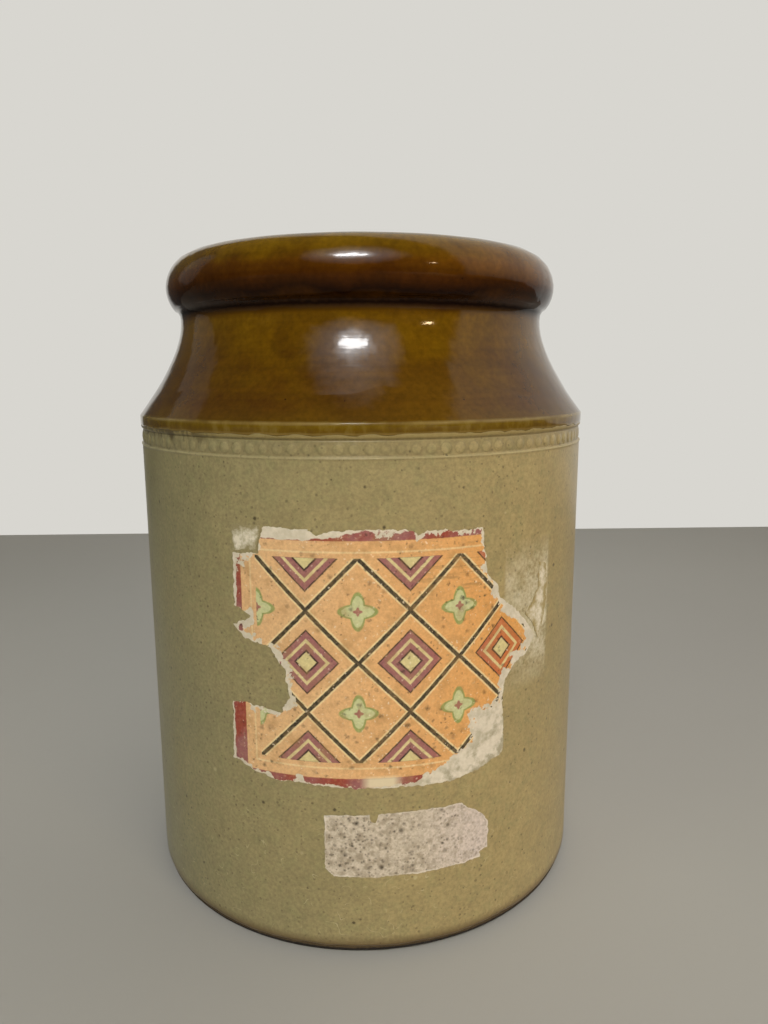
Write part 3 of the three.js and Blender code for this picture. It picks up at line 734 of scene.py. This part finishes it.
    cornerGrey = addNode(tree, "MapRange", {0: cornerOver, 1: -2, 2: 7, 3: 0.3, 4: 1})
    thinned = addNode(tree, "Math", {0: thinned, 1: cornerGrey}, operation="MULTIPLY")
    pulp = coated(tree, "#b7a98e", (fine, "#ddd2be"), (thinned, "#90876b"))
    colour = coated(tree, colour, (lost, pulp))
    relief = addNode(tree, "Math", {0: lost, 1: -0.6, 2: fine}, operation="MULTIPLY_ADD")
    bump = addNode(tree, "Bump", {"Height": relief, "Strength": 0.5, "Distance": 0.0001}, out="Normal")
    shader = addNode(tree, "BsdfPrincipled", {"Base Color": colour, "Roughness": 0.75, "IOR": 1.45, "Normal": bump})
    addNode(tree, "OutputMaterial", {"Surface": shader})
    return material


# plain white label paper, gone grey with soft mould spots, cleaner and rosier to the right
def plainPaper():
    material, tree = newMaterial("plainLabelPaper")
    place = addNode(tree, "TexCoord", out="Object")
    rough = shaken(tree, place, 1100, 0.0006)
    along = wallPlace(tree, place, (12.0, 36.0))[0]
    cloud, fine, smudge = [
        addNode(tree, "TexNoise", {"Vector": place, "Scale": scale, **cloudy, "Detail": detail})
        for scale, detail in ((110, 5), (1300, 5), (480, 7))]  # 9 mm patches, 0.8 mm fibre, 2 mm smudges
    rosy = addNode(tree, "MapRange", {0: along, 1: 2, 2: 22})
    colour = coated(tree, "#c0b19b", (rosy, "#c8b8aa"))
    tone = addNode(tree, "MapRange", {0: fine, 1: 0.3, 2: 0.7, 3: 0.76, 4: 1.14})
    colour = addNode(tree, "Mix", {0: 1.0, 6: colour, 7: tone}, **shading)
    leftward = addNode(tree, "MapRange", {0: along, 1: -14, 2: 22, 3: 0.16, 4: -0.12})
    crowd = addNode(tree, "Math", {0: cloud, 1: leftward}, operation="ADD")
    crowd = addNode(tree, "MapRange", {0: crowd, 1: 0.34, 2: 0.6, 3: 0.35, 4: 1})
    grey = addNode(tree, "MapRange", {0: smudge, 1: 0.44, 2: 0.62, 3: 0, 4: 0.72})
    sizes = ((240, 0.65, 0.05, 0.24, 0.95), (430, 0.75, 0.06, 0.3, 0.9), (900, 0.85, 0.08, 0.44, 0.7))
    stains = [(grey, "#84765f")] + [(specks(tree, rough, *size), "#3a3022") for size in sizes]
    for stain, code in stains:
        colour = coated(tree, colour, (addNode(tree, "Math", {0: stain, 1: crowd}, operation="MULTIPLY"), code))
    edge = addNode(tree, "Attribute", out="Fac", attribute_name="fromEdge")
    bare = addNode(tree, "Math", {0: cloud, 1: 3.0, 2: -1.3}, operation="MULTIPLY_ADD")
    bare = addNode(tree, "Math", {0: bare, 1: edge}, operation="SUBTRACT")
    torn = addNode(tree, "MapRange", {0: bare, 1: -0.2, 2: 0.4, 3: 0, 4: 0.6})
    colour = coated(tree, colour, (torn, "#ddd2c1"))
    bump = addNode(tree, "Bump", {"Height": fine, "Strength": 0.4, "Distance": 0.0001}, out="Normal")
    shader = addNode(tree, "BsdfPrincipled", {"Base Color": colour, "Roughness": 0.82, "IOR": 1.45, "Normal": bump})
    addNode(tree, "OutputMaterial", {"Surface": shader})
    return material


# what soaking left of the sheet: a film of pasted fibres, the glaze showing through it
def scrapPaper():
    material, tree = newMaterial("paperFibreScrap")
    place = addNode(tree, "TexCoord", out="Object")
    edge = addNode(tree, "Attribute", out="Fac", attribute_name="fromEdge")
    cloud = addNode(tree, "TexNoise", {"Vector": place, "Scale": 240, **cloudy, "Detail": 6})  # 4 mm patches
    fine = addNode(tree, "TexNoise", {"Vector": place, "Scale": 1000, **cloudy})
    mixed = addNode(tree, "Math", {0: fine, 1: 0.5, 2: cloud}, operation="MULTIPLY_ADD")
    inward = addNode(tree, "MapRange", {0: edge, 1: 0.0, 2: 1.8, 3: -0.22, 4: 0.04})
    left = addNode(tree, "Math", {0: mixed, 1: inward}, operation="ADD")
    cover = addNode(tree, "MapRange", {0: left, 1: 0.55, 2: 0.85, 3: 0.0, 4: 0.9})
    along = wallPlace(tree, place, (0, 0))[0]
    # the glaze under the film darker olive to the left and lighter tan to the right, as painted shade and painted warm
    # lamplight
    across = addNode(tree, "MapRange", {0: along, 1: -80, 2: 60})
    colour = coated(tree, "#82795a", (across, "#9c8a5c"), (cover, "#d5cab3"))
    bump = addNode(tree, "Bump", {"Height": mixed, "Strength": 0.4, "Distance": 0.0001}, out="Normal")
    shader = addNode(tree, "BsdfPrincipled", {"Base Color": colour, "Roughness": 0.6, "IOR": 1.45, "Normal": bump})
    addNode(tree, "OutputMaterial", {"Surface": shader})
    return material


# seamless studio paper: pale, matt, faintly mottled
def studioPaper():
    material, tree = newMaterial("studioFloorPaper")
    place = addNode(tree, "TexCoord", out="Object")
    cloud = addNode(tree, "TexNoise", {"Vector": place, "Scale": 3, **cloudy})
    colour = coated(tree, "#a6a299", (cloud, "#ada9a0"))
    shader = addNode(tree, "BsdfPrincipled", {"Base Color": colour, "Roughness": 0.8, "IOR": 1.45})
    addNode(tree, "OutputMaterial", {"Surface": shader})
    return material


finishPiece(amberGlaze, ironGlaze(), "amber_glaze")
finishPiece(buffGlaze, clearGlaze("clearGlazeOverBuffClay", "#817754", "#9a875a", True), "buff_glaze")
finishPiece(linerGlaze, clearGlaze("linerGlazeOverBuffClay", "#94896a", "#a2946c", False), "liner_glaze")
finishPiece(stonewareBody, bareClay(), "stoneware_body")
finishPiece(mainLabel, printedPaper(), "main_label")
finishPiece(weightLabel, plainPaper(), "weight_label")
fibre = scrapPaper()
finishPiece(cornerScrap, fibre, "corner_scrap")
finishPiece(edgeScrap, fibre, "edge_scrap")
print("materials set")

# pale floor, its far edge half a metre behind the jar, and soft studio light, in metres
stage = {"size": 8, "place": (0, -3.45, -0.0002), "pale": "#d8d6d0", "dim": "#4e4c49", "dimSide": (-0.707, -0.707, 0)}
bpy.ops.object.select_all(action="DESELECT")
bpy.ops.mesh.primitive_plane_add(size=stage["size"], location=stage["place"])
floor = bpy.context.object
floor.name = "floor"
floor.data.materials.append(studioPaper())

world = bpy.data.worlds.new("studio")
scene.world = world
world.use_nodes = True
tree = world.node_tree
tree.nodes.clear()
way = addNode(tree, "TexCoord", out="Generated")
facing = addNode(tree, "VectorMath", {0: way, 1: stage["dimSide"]}, out="Value", operation="DOT_PRODUCT")
dim = addNode(tree, "MapRange", {0: facing, 1: -0.3, 2: -0.2}, interpolation_type="SMOOTHSTEP")
back = addNode(tree, "Background", {"Color": coated(tree, stage["pale"], (dim, stage["dim"])), "Strength": 1.0})
addNode(tree, "OutputWorld", {"Surface": back})

lamps = {
    "key": {"place": (-0.1, -0.95, 1.02), "size": (0.34, 0.17), "power": 3.6, "tint": "#ffffff", "shine": True},
    "glow": {"place": (-0.1, -0.97, 1.04), "size": (0.7, 0.7), "power": 0.2, "tint": "#f2f8ff", "shine": True,
             "spread": 24},
    "halo": {"place": (-0.08, -1.0, 1.06), "size": (1.3, 1.3), "power": 0.98, "tint": "#f0f6ff", "shine": True,
             "spread": 54},
    "spark": {"place": (0.73, -0.84, 0.64), "size": (0.06, 0.04), "power": 0.38, "tint": "#ffdfb0", "shine": True},
    "strip": {"place": (-1.3, 0.55, 0.65), "size": (0.6, 1.1), "power": 0.28, "tint": "#ffffff", "shine": True},
    "fill": {"place": (1.15, -1.75, 0.5), "size": (1.4, 1.2), "power": 23.0, "tint": "#fff4e4", "shine": False},
    "left": {"place": (-1.5, -1.0, 0.5), "size": (1.0, 1.0), "power": 6.6, "tint": "#f6ffee", "shine": False},
}
middle = Vector((0, 0, 0.12))  # what the lamps point at
for name, lamp in lamps.items():
    bpy.ops.object.light_add(type="AREA", location=lamp["place"])
    light = bpy.context.object
    light.name = name
    light.data.shape = "ELLIPSE"
    light.data.size, light.data.size_y = lamp["size"]
    light.data.energy = lamp["power"]
    light.data.color = linearColour(lamp["tint"])[:3]
    light.rotation_euler = (middle - Vector(lamp["place"])).to_track_quat("-Z", "Y").to_euler()
    light.data.spread = math.radians(lamp.get("spread", 180))
    light.visible_glossy = lamp["shine"]
print("lights set")

bpy.context.view_layer.update()
